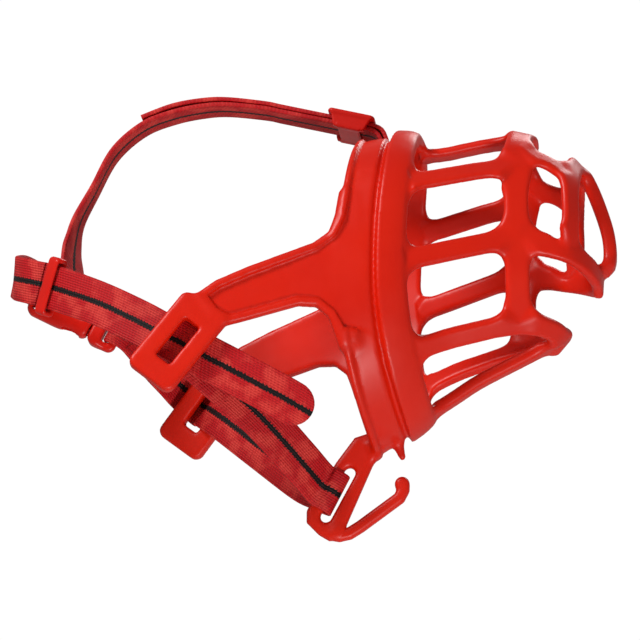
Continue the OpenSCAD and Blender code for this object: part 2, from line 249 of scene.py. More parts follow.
def sewing_thread():
    """Bonded polyester thread: dark red, twisted, with a slight shine."""
    made, tree, shader = new_material("bonded thread", 0.5, 1.5)
    place = node(tree, "ShaderNodeTexCoord", {}).outputs["Object"]
    twist = node(tree, "ShaderNodeTexNoise", {"Vector": place, "Scale": 1000 / 0.5}).outputs[0]
    colour = node(tree, "ShaderNodeMix", {0: twist, 6: linear("#6E0408"), 7: linear("#B01418")},
                  data_type="RGBA").outputs[2]
    tree.links.new(colour, shader.inputs["Base Color"])
    return made


def painted_floor():
    """Matt white paint, with very faint roller texture. It glows a little, but only to the eye,
    so the floor stays pale and doesn't light the object."""
    made, tree, shader = new_material("matt white paint", 0.85, 1.5)
    place = node(tree, "ShaderNodeTexCoord", {}).outputs["Object"]
    roller = node(tree, "ShaderNodeTexNoise", {"Vector": place, "Scale": 60}).outputs[0]
    colour = node(tree, "ShaderNodeMix", {0: roller, 6: linear("#F4F4F2"), 7: linear("#FAFAF9")},
                  data_type="RGBA").outputs[2]
    tree.links.new(colour, shader.inputs["Base Color"])
    seen = node(tree, "ShaderNodeLightPath", {}).outputs["Is Camera Ray"]
    glow = node(tree, "ShaderNodeMath", {0: seen, 1: 0.55}, operation="MULTIPLY").outputs[0]
    shader.inputs["Emission Color"].default_value = (1, 1, 1, 1)
    tree.links.new(glow, shader.inputs["Emission Strength"])
    return made


# ---------------------------------------------------------------- curves and solids

def legs(points, gap):
    """How many steps of about gap mm each leg between two points takes."""
    lengths = np.linalg.norm(np.diff(np.array(points, float), axis=0), axis=1)
    return [max(1, int(round(length / gap))) for length in lengths]


def smooth(points, steps):
    """Catmull-Rom curve through the points, with the given number of steps in each leg."""
    p = np.array(points, float)
    q = np.vstack([p[0], p, p[-1]])
    out = []
    for i, n in enumerate(steps):
        a, b, c, d = q[i:i + 4]
        f = (np.arange(n) / n)[:, None]
        out.append(0.5 * (2 * b + (c - a) * f + (2 * a - 5 * b + 4 * c - d) * f ** 2
                          + (3 * b - a - 3 * c + d) * f ** 3))
    return np.vstack(out + [p[-1:]])


def unit(v):
    """Vectors of length 1."""
    return v / np.maximum(np.linalg.norm(v, axis=-1, keepdims=True), 1e-9)


def headings(c):
    """The direction of a curve at each of its points."""
    return unit(np.vstack([c[1] - c[0], c[2:] - c[:-2], c[-1] - c[-2]]))


def join(a, b, k):
    """Union of two distances with a fillet of about k mm."""
    h = np.maximum(k - np.abs(a - b), 0) / k
    return np.minimum(a, b) - h * h * k / 4


def meet(a, b, k):
    """What both have, its edge rounded to about k mm."""
    return -join(-a, -b, k)


def box_edge(x, y, half_x, half_y, r=0.0):
    """Distance to a rounded rectangle."""
    dx, dy = np.abs(x) - half_x + r, np.abs(y) - half_y + r
    return np.hypot(np.maximum(dx, 0), np.maximum(dy, 0)) + np.minimum(np.maximum(dx, dy), 0) - r


def outline_edge(x, z, outline):
    """Distance to a closed outline, negative inside."""
    x, z = np.broadcast_arrays(x, z)
    best = np.full(x.shape, FAR, np.float32)
    inside = np.zeros(x.shape, bool)
    for (ax, az), (bx, bz) in zip(outline, outline[1:] + outline[:1]):
        ex, ez = bx - ax, bz - az
        f = np.clip(((x - ax) * ex + (z - az) * ez) / (ex * ex + ez * ez), 0, 1)
        best = np.minimum(best, (x - ax - f * ex) ** 2 + (z - az - f * ez) ** 2)
        if az != bz:
            crosses = ((az > z) != (bz > z)) & (x < ex * (z - az) / ez + ax)
            inside ^= crosses
    return np.where(inside, -1, 1) * np.sqrt(best)


def line_edge(x, z, line):
    """Distance to an open line."""
    x, z = np.broadcast_arrays(x, z)
    best = np.full(x.shape, FAR, np.float32)
    for (ax, az), (bx, bz) in zip(line, line[1:]):
        ex, ez = bx - ax, bz - az
        f = np.clip(((x - ax) * ex + (z - az) * ez) / (ex * ex + ez * ez), 0, 1)
        best = np.minimum(best, np.hypot(x - ax - f * ex, z - az - f * ez))
    return best


def grid(low, high, pitch):
    """Coordinates of a box of points pitch mm apart."""
    return [np.arange(lo, hi + pitch, pitch, dtype=np.float32) for lo, hi in zip(low, high)]


def spread(axes):
    """The three coordinates, each along its own direction of the box."""
    return np.meshgrid(*axes, indexing="ij", sparse=True)


def sample(field, spots):
    """Values of the field between its points, spots counted in grid steps."""
    base = np.clip(spots.astype(int), 0, np.array(field.shape) - 2)
    f = spots - base
    total = 0
    for corner in range(8):
        step = np.array([corner & 1, corner >> 1 & 1, corner >> 2 & 1])
        weight = np.prod(np.where(step, f, 1 - f), axis=1)
        at = base + step
        total = total + weight * field[at[:, 0], at[:, 1], at[:, 2]]
    return total


def skin(field, low, pitch):
    """Closed quad mesh over the zero level of a field of distances, outside positive."""
    nx, ny, nz = field.shape
    inside = field < 0
    count = np.zeros((nx - 1, ny - 1, nz - 1), np.int8)
    for corner in range(8):
        i, j, k = corner & 1, corner >> 1 & 1, corner >> 2 & 1
        count += inside[i:nx - 1 + i, j:ny - 1 + j, k:nz - 1 + k]
    cells = np.argwhere((count > 0) & (count < 8))
    number = np.full(count.shape, -1, np.int32)
    number[tuple(cells.T)] = np.arange(len(cells))
    total, hits = np.zeros((len(cells), 3)), np.zeros(len(cells))
    for axis in range(3):
        others = [a for a in range(3) if a != axis]
        for corner in range(4):
            start = cells.copy()
            start[:, others[0]] += corner & 1
            start[:, others[1]] += corner >> 1
            stop = start.copy()
            stop[:, axis] += 1
            a, b = field[tuple(start.T)], field[tuple(stop.T)]
            cut = (a < 0) != (b < 0)
            spot = start.astype(float)
            spot[:, axis] += np.where(cut, a / np.where(cut, a - b, 1), 0)
            total[cut] += spot[cut]
            hits[cut] += 1
    verts = total / hits[:, None]
    faces = []
    for axis in range(3):
        others = [a for a in range(3) if a != axis]
        low_side = [slice(1, -1)] * 3
        low_side[axis] = slice(0, -1)
        high_side = [slice(1, -1)] * 3
        high_side[axis] = slice(1, None)
        a, b = inside[tuple(low_side)], inside[tuple(high_side)]
        for outward, at in ((True, a & ~b), (False, b & ~a)):
            spots = np.argwhere(at)
            spots[:, others[0]] += 1
            spots[:, others[1]] += 1
            quad = []
            for da, db in ((-1, -1), (0, -1), (0, 0), (-1, 0)):
                cell = spots.copy()
                cell[:, others[0]] += da
                cell[:, others[1]] += db
                quad.append(number[tuple(cell.T)])
            quad = np.stack(quad, axis=1)
            faces.append(quad if outward != (axis == 1) else quad[:, ::-1])
    faces = np.vstack(faces)
    for _ in range(3):
        around = np.zeros_like(verts)
        shared = np.zeros(len(verts))
        for a, b in ((0, 1), (1, 2), (2, 3), (3, 0)):
            for m, n in ((a, b), (b, a)):
                np.add.at(around, faces[:, m], verts[faces[:, n]])
                np.add.at(shared, faces[:, m], 1)
        verts = 0.4 * verts + 0.6 * around / shared[:, None]
        for _ in range(2):
            value = sample(field, verts)
            slope = np.stack([sample(field, verts + s) - sample(field, verts - s)
                              for s in 0.5 * np.eye(3)], axis=1)
            step = value / np.maximum((slope ** 2).sum(axis=1), 0.05)
            verts -= np.clip(step, -0.5, 0.5)[:, None] * slope
    return verts * pitch + np.array(low), faces


def quad_piece(name, verts, faces, material):
    """A mesh object from arrays, verts in mm."""
    mesh = bpy.data.meshes.new(name)
    mesh.vertices.add(len(verts))
    mesh.vertices.foreach_set("co", (np.asarray(verts) * MM).astype(np.float32).ravel())
    mesh.loops.add(faces.size)
    mesh.loops.foreach_set("vertex_index", faces.astype(np.int32).ravel())
    mesh.polygons.add(len(faces))
    mesh.polygons.foreach_set("loop_start", np.arange(0, faces.size, 4, dtype=np.int32))
    mesh.polygons.foreach_set("use_smooth", np.ones(len(faces), bool))
    mesh.update(calc_edges=True)
    mesh.validate()
    mesh.materials.append(material)
    return placed(name, mesh)


def moulded(name, shape, low, high, pitch, material, place=None):
    """A moulded piece: shape gives its distances in its own frame, place its frame in the object."""
    axes = grid(low, high, pitch)
    verts, faces = skin(shape(*spread(axes)).astype(np.float32), low, pitch)
    if place is not None:
        turn = np.array(place.to_3x3())
        verts = verts @ turn.T + np.array(place.translation)
    return quad_piece(name, verts, faces, material)


# ---------------------------------------------------------------- the rubber basket

LEAN = math.tan(math.radians(17.2))
BAR_W, RING_W, WALL = 9.5, 11.2, 4.0
ARM_SPLAY, FRAME_TILT = math.radians(8), math.radians(35)
CHEEK_Y, FLARE, CROWN_H, CHIN_H = 47.5, 7.5, 58, 57.5
ARM_Y, ARM_HALF_T, ARM_RIM = 52.8, 2.7, 3.8
FRAME_MID, FRAME_HALF, FRAME_HALF_T = (-83.6, 64.2, -7.2), (21.5, 12), 3.2
SLOT_HALF = (10.9, 4)
HOOK_PIVOT = (-42.0, -97.6)
HOOK_T = 5.4


def leaning(u, y, z):
    """A point on a cross-section that leans forward with the band."""
    return (u + LEAN * z, y, z)


def mirrored(points, side):
    """The points on the left for side 1, or on the right for side -1."""
    return [(x, y * side, z) for x, y, z in points]


CROWN_BAR = [leaning(27, 0, 59.2), leaning(32, 0, 58.6), leaning(40, 0, 57), leaning(58, 0, 55),
             leaning(79, 0, 51.5)]
UPPER_BAR = [(37.4, 46.4, 36), (50.7, 43, 34.9), (67.9, 38.5, 33.6), (85.9, 34, 31.2)]
CHEEK_BAR = [(24, 49.3, 1.1), (41.9, 44.5, 0.5), (58.4, 39.5, -0.1), (74.4, 34.5, -0.7),
             (86, 32, -7.1), (95.5, 28.5, -13.3), (102.5, 20, -20), (105.4, 10, -24.2),
             (106.2, 0, -25.2)]
LOWER_BAR = [(16, 37.6, -38.2), (30.4, 33.6, -37.1), (47, 30, -37.5), (63.6, 26.5, -38.4),
             (72.5, 22.5, -41.5), (79.5, 12, -44.8), (80.5, 4, -46.8), (80, 0, -47)]
CHIN_BAR = [(16, 0, -60), (27, 0, -57), (40, 0, -53.4), (60, 0, -50), (79, 0, -46.8)]
RING_HALF = [(63.6, 26.5, -38.4), (68.9, 31.5, -20.6), (75, 34.5, -0.7), (80.3, 35, 16.7),
             (84.9, 34, 31.1), (88.8, 28.5, 41.6), (92, 15.5, 49.3), (93.9, 0, 51.5)]
NOSE_STRUT = [(88.5, 30.5, 40.5), (94, 29.6, 34.5), (99.5, 28.5, 29.8), (107.5, 24.5, 21.6)]
NOSE_HALF = [(95.5, 28.5, -13.3), (101.4, 31, -0.1), (105, 29.9, 12.2), (108, 24.5, 21.2),
             (111.4, 13.5, 27.6), (113.5, 0, 30.4)]
NOSE_BAR = [(113.5, 0, 30.4), (116.6, 0, 24), (118, 0, 12), (117.8, 0, -5), (114.4, 0, -18),
            (108.6, 0, -23.6)]
ARM = [(6, 38), (1, 29), (-5, 22.5), (-13, 19.6), (-25, 18.6), (-45, 17), (-60, 15), (-70, 11.5),
       (-66, 0), (-60, -6), (-52, -6.2), (-28, -6.4), (-20.5, -9), (-16.5, -15), (-14.5, -28),
       (-8, -28), (2, 0), (10, 36)]
ARM_PANEL = [(12, 49)] + ARM[1:14] + [(-14.5, -24), (0, -30), (30, -30), (40, 49)]
CHIN_SLOT = [(-10, -58), (-22, -58), (-33, -66), (-37, -69.4), (-52.4, -83), (-54, -88),
             (-50.5, -95), (-47, -99), (-41, -98), (-38.5, -95.5), (-18.6, -72.6), (-12, -66)]
HOOK_ARM = [(-42, -98.4), (-37.5, -98.8), (-32, -97.4), (-11.4, -90.4), (-8.6, -87.6), (-8.1, -84.6)]


def both_sides(half):
    """From a left half that ends on the middle line, the whole line from right to left."""
    return mirrored(half, -1) + half[-2::-1]


def lay_bar(fields, axes, points, width, wall=WALL):
    """Adds a bar whose outer face follows the points: its edge and face distances join the fields."""
    edge, face = fields
    c = smooth(points, legs(points, 2.0))
    h = headings(c)
    middle = np.stack([np.minimum(c[:, 0] - LEAN * c[:, 2], 66), 0 * c[:, 1],
                       np.clip(c[:, 2] * 0.35, -16, 14)], axis=1)
    middle[:, 0] += LEAN * middle[:, 2]
    out = unit(c - middle)
    n = unit(out - (out * h).sum(axis=1, keepdims=True) * h)
    b = np.cross(n, h)
    c = c - n * wall / 2
    reach = width / 2 + 9
    spans = [(int(np.searchsorted(a, c[:, i].min() - reach)),
              int(np.searchsorted(a, c[:, i].max() + reach))) for i, a in enumerate(axes)]
    own = tuple(slice(*s) for s in spans)
    bar_edge = np.full(edge[own].shape, 99, np.float32)
    bar_face = np.full(edge[own].shape, 99, np.float32)
    bar_off = np.full(edge[own].shape, FAR, np.float32)
    for i in range(len(c) - 1):
        lo, hi = np.minimum(c[i], c[i + 1]) - reach, np.maximum(c[i], c[i + 1]) + reach
        cut = [slice(int(np.searchsorted(a, lo[k])), int(np.searchsorted(a, hi[k])))
               for k, a in enumerate(axes)]
        x, y, z = spread([a[s] for a, s in zip(axes, cut)])
        local = tuple(slice(s.start - spans[k][0], s.stop - spans[k][0]) for k, s in enumerate(cut))
        leg = c[i + 1] - c[i]
        length = np.linalg.norm(leg)
        leg = leg / length
        dx, dy, dz = x - c[i, 0], y - c[i, 1], z - c[i, 2]
        run = dx * leg[0] + dy * leg[1] + dz * leg[2]
        f = np.clip(run / length, 0, 1)
        past = run - f * length
        u = sum((d - f * length * leg[k]) * (b[i, k] + f * (b[i + 1, k] - b[i, k]))
                for k, d in enumerate((dx, dy, dz)))
        v = sum((d - f * length * leg[k]) * (n[i, k] + f * (n[i + 1, k] - n[i, k]))
                for k, d in enumerate((dx, dy, dz)))
        side = np.abs(u) - width / 2
        if i in (0, len(c) - 2):
            beyond = (f == 0) if i == 0 else (f == 1)
            side = np.where(beyond, np.hypot(np.maximum(side, 0), past), side)
        off = u * u + v * v + past * past
        nearer = off < bar_off[local]
        bar_off[local] = np.where(nearer, off, bar_off[local])
        bar_edge[local] = np.where(nearer, side, bar_edge[local])
        bar_face[local] = np.where(nearer, np.abs(v) - wall / 2, bar_face[local])
    mix_in(edge, face, own, bar_edge, bar_face)


def mix_in(edge, face, own, new_edge, new_face, corner=9.0, level=6.0):
    """Joins one part to the rest, with rounded inner corners and no step between their faces."""
    old_edge, old_face = edge[own], face[own]
    share = np.clip(0.5 + (old_edge - new_edge) / level, 0, 1)
    face[own] = old_face + share * (new_face - old_face)
    edge[own] = join(old_edge, new_edge, corner)


BAND_GROW = ([-8, 6, 16, 25, 33], [1, 0.86, 0.58, 0.25, 0])
BAND_PANEL = ([-9, -8, -7, -5, -3.8, -2.6, 6.9, 7.9, 9.5, 10.3],
              [0.4, 0.8, 1.6, 1.6, -0.2, 0, 0, -1.5, -1.5, 0])
BAND_RIDGE = ([9.3, 10.6, 12, 19, 22, 24.5], [0, 0.95, 1, 0.9, 0.7, 0.2])


def band_height(x, y, z):
    """The place across the band from its rear, and the height above its panel's surface. The section
    is a rounded oblong above and an oval below, it bows forward, and it flares to the rear."""
    bow = np.where(z > 0, 6.0, 10.0) * (z / 60) ** 2
    u = x - LEAN * z - bow
    grow = np.interp(u, *BAND_GROW)
    wide = CHEEK_Y + FLARE * grow
    tall = np.where(z > 0, CROWN_H + 9 * grow, CHIN_H + 10 * grow)
    power = np.where(z > 0, 3.1, 1.9)
    fy, fz = np.abs(y) / wide, np.abs(z) / tall
    total = np.maximum(fy ** power + fz ** power, 1e-6)
    radius = total ** (1 / power)
    slope = np.hypot(fy ** (power - 1) / wide, fz ** (power - 1) / tall) * total ** (1 / power - 1)
    return u, (radius - 1) / np.maximum(slope, 1e-4)


def lay_band(fields, axes):
    """The rear band: raised rear rim, flat panel, a groove and the raised front edge."""
    edge, face = fields
    own, (x, y, z) = local_box(axes, (-46, -70, -85), (62, 70, 88))
    u, height = band_height(x, y, z)
    crown = np.clip((z - 30) / 30, 0, 1) * np.clip(1.5 - np.abs(y) / 26, 0, 1)
    outer = (np.interp(u, *BAND_PANEL) + np.interp(u, *BAND_RIDGE) * (2.0 + 2.2 * crown)
             + 1.2 * crown * np.exp(-((u + 1) / 6) ** 2))
    band_edge = np.abs(u - 8) - 16
    band_face = np.maximum(height - outer, -3.4 - height)
    mix_in(edge, face, own, band_edge.astype(np.float32), band_face.astype(np.float32), 8.0, 5.0)


def local_box(axes, low, high):
    """The part of the box of points between two corners, and its coordinates."""
    own = tuple(slice(int(np.searchsorted(a, lo)), int(np.searchsorted(a, hi)))
                for a, lo, hi in zip(axes, low, high))
    return own, spread([a[s] for a, s in zip(axes, own)])


def in_frame(x, y, z, turn, middle):
    """Coordinates in a turned frame."""
    d = (x - middle[0], y - middle[1], z - middle[2])
    return [sum(turn[k][i] * d[k] for k in range(3)) for i in range(3)]


def strap_arms(field, axes):
    """Two flat arms that end in tilted slot frames, their sunken panels running into the band's."""
    for side in (-1, 1):
        ys = sorted((side * 36, side * 78))
        own, (x, y, z) = local_box(axes, (-110, ys[0], -44), (24, ys[1], 50))
        turn = Matrix.Rotation(-side * ARM_SPLAY, 3, "Z")
        p, q, r = in_frame(x, y, z, turn, (0, side * ARM_Y, 0))
        bend = 0.0075 * np.minimum(r, 0) ** 2 + 0.0044 * np.maximum(r - 10, 0) ** 2
        q = side * q + bend * np.clip((p + 34) / 18, 0, 1)
        flat = outline_edge(p, r, ARM)
        arm = meet(flat, np.abs(q) - ARM_HALF_T, 1.8)
        tilt = turn @ Matrix.Rotation(-FRAME_TILT, 3, "Y")
        fp, fq, fr = in_frame(x, y, z, tilt, (FRAME_MID[0], side * FRAME_MID[1], FRAME_MID[2]))
        frame_edge = box_edge(fp, fr, *FRAME_HALF, 4.0)
        arm = join(arm, meet(frame_edge, np.abs(fq) - FRAME_HALF_T, 1.8), 3.0)
        hole = np.maximum(box_edge(fp, fr, *SLOT_HALF, 1.0), np.abs(fq) - 9)
        arm = meet(arm, -hole, 1.2)
        whole = join(field[own], arm, 6.0)
        u, height = band_height(x, y, z)
        panel = np.maximum(outline_edge(p, r, ARM_PANEL) + ARM_RIM, u - 7.2)
        panel = np.maximum(panel, -frame_edge)
        floor = 0.9 - 0.5 * np.clip((-p - 14) / 16, 0, 1)
        sunk = meet(np.maximum(panel, -0.1 - height), floor - q, 0.6)
        field[own] = meet(whole, -sunk, 0.9)


def chin_fitting(field, axes):
    """The chin slot under the band, the root of the collar hook and the spike that faces its tip."""
    own, (x, y, z) = local_box(axes, (-62, -9, -106), (12, 9, -48))
    flat = outline_edge(x, z, CHIN_SLOT) - 0.3
    slot = line_edge(x, z, [(-29, -72.6), (-45.2, -88.4)]) - 2.5
    plate = meet(np.maximum(flat, -slot), np.abs(y) - HOOK_T / 2, 2.4)
    root = np.hypot(x - HOOK_PIVOT[0], z - HOOK_PIVOT[1]) - 3.6
    plate = join(plate, meet(root, np.abs(y) - HOOK_T / 2, 2.4), 2.0)
    below = np.hypot(x + 4.4, y) - (1.3 + 0.17 * (z + 74.2))
    spike = meet(below, np.maximum(-74.2 - z, z + 60), 1.0)
    field[own] = join(join(field[own], plate, 5.0), spike, 3.0)


def basket():
    """One moulding: band, bars, cheek ring, nose cap, strap arms and chin slot, filleted together."""
    pitch, low, high = 1.0, (-108, -80, -106), (122, 80, 90)
    axes = grid(low, high, pitch)
    shape = tuple(len(a) for a in axes)
    fields = np.full(shape, 99, np.float32), np.full(shape, 99, np.float32)
    lay_bar(fields, axes, both_sides(RING_HALF), RING_W)
    lay_bar(fields, axes, both_sides(NOSE_HALF), BAR_W)
    lay_bar(fields, axes, NOSE_BAR, BAR_W, WALL + 2)
    lay_bar(fields, axes, CROWN_BAR, 13)
    lay_bar(fields, axes, CHIN_BAR, BAR_W, WALL + 1.5)
    for side in (-1, 1):
        for points, width, wall in ((UPPER_BAR, BAR_W, WALL), (CHEEK_BAR, BAR_W, WALL + 0.8),
                                    (LOWER_BAR, BAR_W, WALL + 1.2), (NOSE_STRUT, BAR_W - 1, WALL)):
            lay_bar(fields, axes, mirrored(points, side), width, wall)
    lay_band(fields, axes)
    field = meet(fields[0], fields[1], 2.2)
    strap_arms(field, axes)
    chin_fitting(field, axes)
    own, (x, y, z) = local_box(axes, (10, -20, 40), (50, 20, 88))
    slot = np.maximum(np.abs(x - 32.0) - 3.0, np.abs(y) - 11.5)  # for the overhead strap
    field[own] = meet(field[own], -slot, 1.0)
    verts, faces = skin(field, low, pitch)
    return quad_piece("rubber_basket", verts, faces, RUBBER)


def collar_hook():
    """The hook's bent arm, round-edged, out of the chin slot's lower corner."""
    def shape(x, y, z):
        flat = line_edge(x, z, HOOK_ARM) - 2.8
        tip = np.hypot(x + 8.3, z + 84.8) - 2.9
        return meet(join(flat, tip, 2.0), np.abs(y) - HOOK_T / 2, 2.6)
    return moulded("collar_hook_arm", shape, (-48, -5, -104), (-2, 5, -78), 0.5, RUBBER)


# ---------------------------------------------------------------- webbing

WEB_W, WEB_T = 20.0, 1.8


def webbing(name, points, widths, round_end=False, gap=1.8):
    """A strap along the points, its width along widths, with the strap map in mm for the weave.
    Gives the piece, and how it lies: its run, middle line, width and outward directions."""
    steps = legs(points, gap)
    c, w = smooth(points, steps), smooth(widths, steps)
    h = headings(c)
    b = unit(w - (w * h).sum(axis=1, keepdims=True) * h)
    n = np.cross(h, b)
    run = np.concatenate([[0], np.cumsum(np.linalg.norm(np.diff(c, axis=0), axis=1))])
    scale = np.ones(len(c))
    lie = run, c, b, n
    if round_end:
        turns = np.radians(np.arange(10, 90, 11))
        c = np.vstack([c] + [c[-1] + h[-1] * WEB_W / 2 * np.sin(t) for t in turns])
        b = np.vstack([b] + [b[-1]] * len(turns))
        n = np.vstack([n] + [n[-1]] * len(turns))
        run = np.concatenate([run, run[-1] + WEB_W / 2 * np.sin(turns)])
        scale = np.concatenate([scale, np.cos(turns)])
    half, thick = WEB_W / 2, WEB_T / 2
    across = np.linspace(-half + 0.5, half - 0.5, 9)
    top = [(a, thick) for a in across]
    edge_round = [(half - 0.1, thick * 0.6), (half, 0), (half - 0.1, -thick * 0.6)]
    bottom = [(a, -thick) for a in across[::-1]]
    other = [(-half + 0.1, -thick * 0.6), (-half, 0), (-half + 0.1, thick * 0.6)]
    profile = top + edge_round + bottom + other
    work = bmesh.new()
    uv = work.loops.layers.uv.new("strap")
    rings, spots = [], {}
    for i in range(len(c)):
        rings.append([work.verts.new((c[i] + a * scale[i] * b[i] + t * n[i]) * MM) for a, t in profile])
        spots.update((v, (a * scale[i], run[i])) for v, (a, t) in zip(rings[i], profile))
    m = len(profile)
    for i in range(len(c) - 1):
        for j in range(m):
            k = (j + 1) % m
            work.faces.new((rings[i][j], rings[i][k], rings[i + 1][k], rings[i + 1][j]))
    work.faces.new(rings[0][::-1])
    work.faces.new(rings[-1])
    for face in work.faces:
        face.smooth = len(face.verts) == 4
        for loop in face.loops:
            loop[uv].uv = spots[loop.vert]
    bmesh.ops.recalc_face_normals(work, faces=work.faces)
    mesh = bpy.data.meshes.new(name)
    work.to_mesh(mesh)
    work.free()
    mesh.materials.append(WEBBING)
    return placed(name, mesh), lie


def stitch_rows():
    """Short rounded stitches along a line, one for every pitch, each a little different."""
    tree = bpy.data.node_groups.new("rows of stitches", "GeometryNodeTree")
    for label, kind in (("Lines", "Geometry"), ("Pitch", "Float"), ("Stitch size", "Vector"),
                        ("Seed", "Int"), ("Thread", "Material")):
        tree.interface.new_socket(label, in_out="INPUT", socket_type="NodeSocket" + kind)
    tree.interface.new_socket("Stitches", in_out="OUTPUT", socket_type="NodeSocketGeometry")
    given = node(tree, "NodeGroupInput", {}).outputs
    line = node(tree, "GeometryNodeMeshToCurve", {"Mesh": given["Lines"]}).outputs[0]
    spots = node(tree, "GeometryNodeResampleCurve", {"Curve": line, "Length": given["Pitch"]},
                 mode="LENGTH").outputs[0]
    along = node(tree, "GeometryNodeInputTangent", {}).outputs[0]
    turn = node(tree, "FunctionNodeAlignRotationToVector", {"Vector": along}, axis="Z").outputs[0]
    uneven = node(tree, "FunctionNodeRandomValue",
                  {"Min": (0.85, 0.85, 0.9), "Max": (1.1, 1.1, 1.05), "Seed": given["Seed"]},
                  data_type="FLOAT_VECTOR").outputs[0]
    size = node(tree, "ShaderNodeVectorMath", {0: uneven, 1: given["Stitch size"]},
                operation="MULTIPLY").outputs[0]
    stitch = node(tree, "GeometryNodeMeshUVSphere",
                  {"Segments": 6, "Rings": 5, "Radius": 0.5}).outputs[0]
    rows = node(tree, "GeometryNodeInstanceOnPoints",
                {"Points": spots, "Instance": stitch, "Rotation": turn, "Scale": size}).outputs[0]
    solid = node(tree, "GeometryNodeRealizeInstances", {0: rows}).outputs[0]
    sewn = node(tree, "GeometryNodeSetMaterial", {0: solid, "Material": given["Thread"]}).outputs[0]
    node(tree, "NodeGroupOutput", {0: sewn})
    return tree


def box_tack(name, lie, start, stop, half, seed):
    """A sewn box with a cross in it, on a strap's outer face, from start to stop along the strap."""
    run, middle, width, outward = lie
    verts, edges = [], []
    corners = [(start, -half), (stop, half), (stop, -half), (start, half), (start, -half), (stop, -half),
               (stop, half), (start, half)]
    for (a, w), (d, v) in zip(corners, corners[1:]):
        for f in np.linspace(0, 1, 9):
            here = [np.array([np.interp(a + f * (d - a), run, line[:, k]) for k in range(3)])
                    for line in (middle, width, outward)]
            verts.append((here[0] + (w + f * (v - w)) * here[1] + (WEB_T / 2 + 0.1) * here[2]) * MM)
            if f:
                edges.append((len(verts) - 2, len(verts) - 1))
    mesh = bpy.data.meshes.new(name)
    mesh.from_pydata(verts, edges, [])
    rough = placed(name, mesh)
    sewing = rough.modifiers.new("sewing", "NODES")
    sewing.node_group = STITCH_ROWS
    sizes = {"Pitch": 1.7 * MM, "Stitch size": (0.55 * MM, 0.55 * MM, 1.9 * MM), "Seed": seed,
             "Thread": THREAD}
    for item in STITCH_ROWS.interface.items_tree:
        if item.name in sizes:
            sewing[item.identifier] = sizes[item.name]
    solved = rough.evaluated_get(bpy.context.evaluated_depsgraph_get())
    baked = bpy.data.meshes.new_from_object(solved)
    baked.shade_smooth()
    bpy.data.objects.remove(rough)
    made = placed(name, baked)
    return made


C45 = math.sqrt(0.5)
W_NECK, W_BACK = (0.7, 0, 0.71), (0.32, 0, 0.95)
W_SLOT = (math.cos(FRAME_TILT), 0, math.sin(FRAME_TILT))
SLIDER_AT, SLIDER_TILT = (19.5, 0, 79.6), math.radians(30.6)
LAYER = WEB_T + 0.45
OVER_CROWN = [(-30.4, 0, 107), (-41.4, 0, 110), (-55, 0, 111.6), (-70, 0, 110.6)]


def under_slider(t, h=0.0):
    """A point on the overhead strap's straight stretch: t along it, h above it."""
    s, c = math.sin(SLIDER_TILT), math.cos(SLIDER_TILT)
    return (SLIDER_AT[0] + t * c + h * s, 0, SLIDER_AT[2] - t * s + h * c)


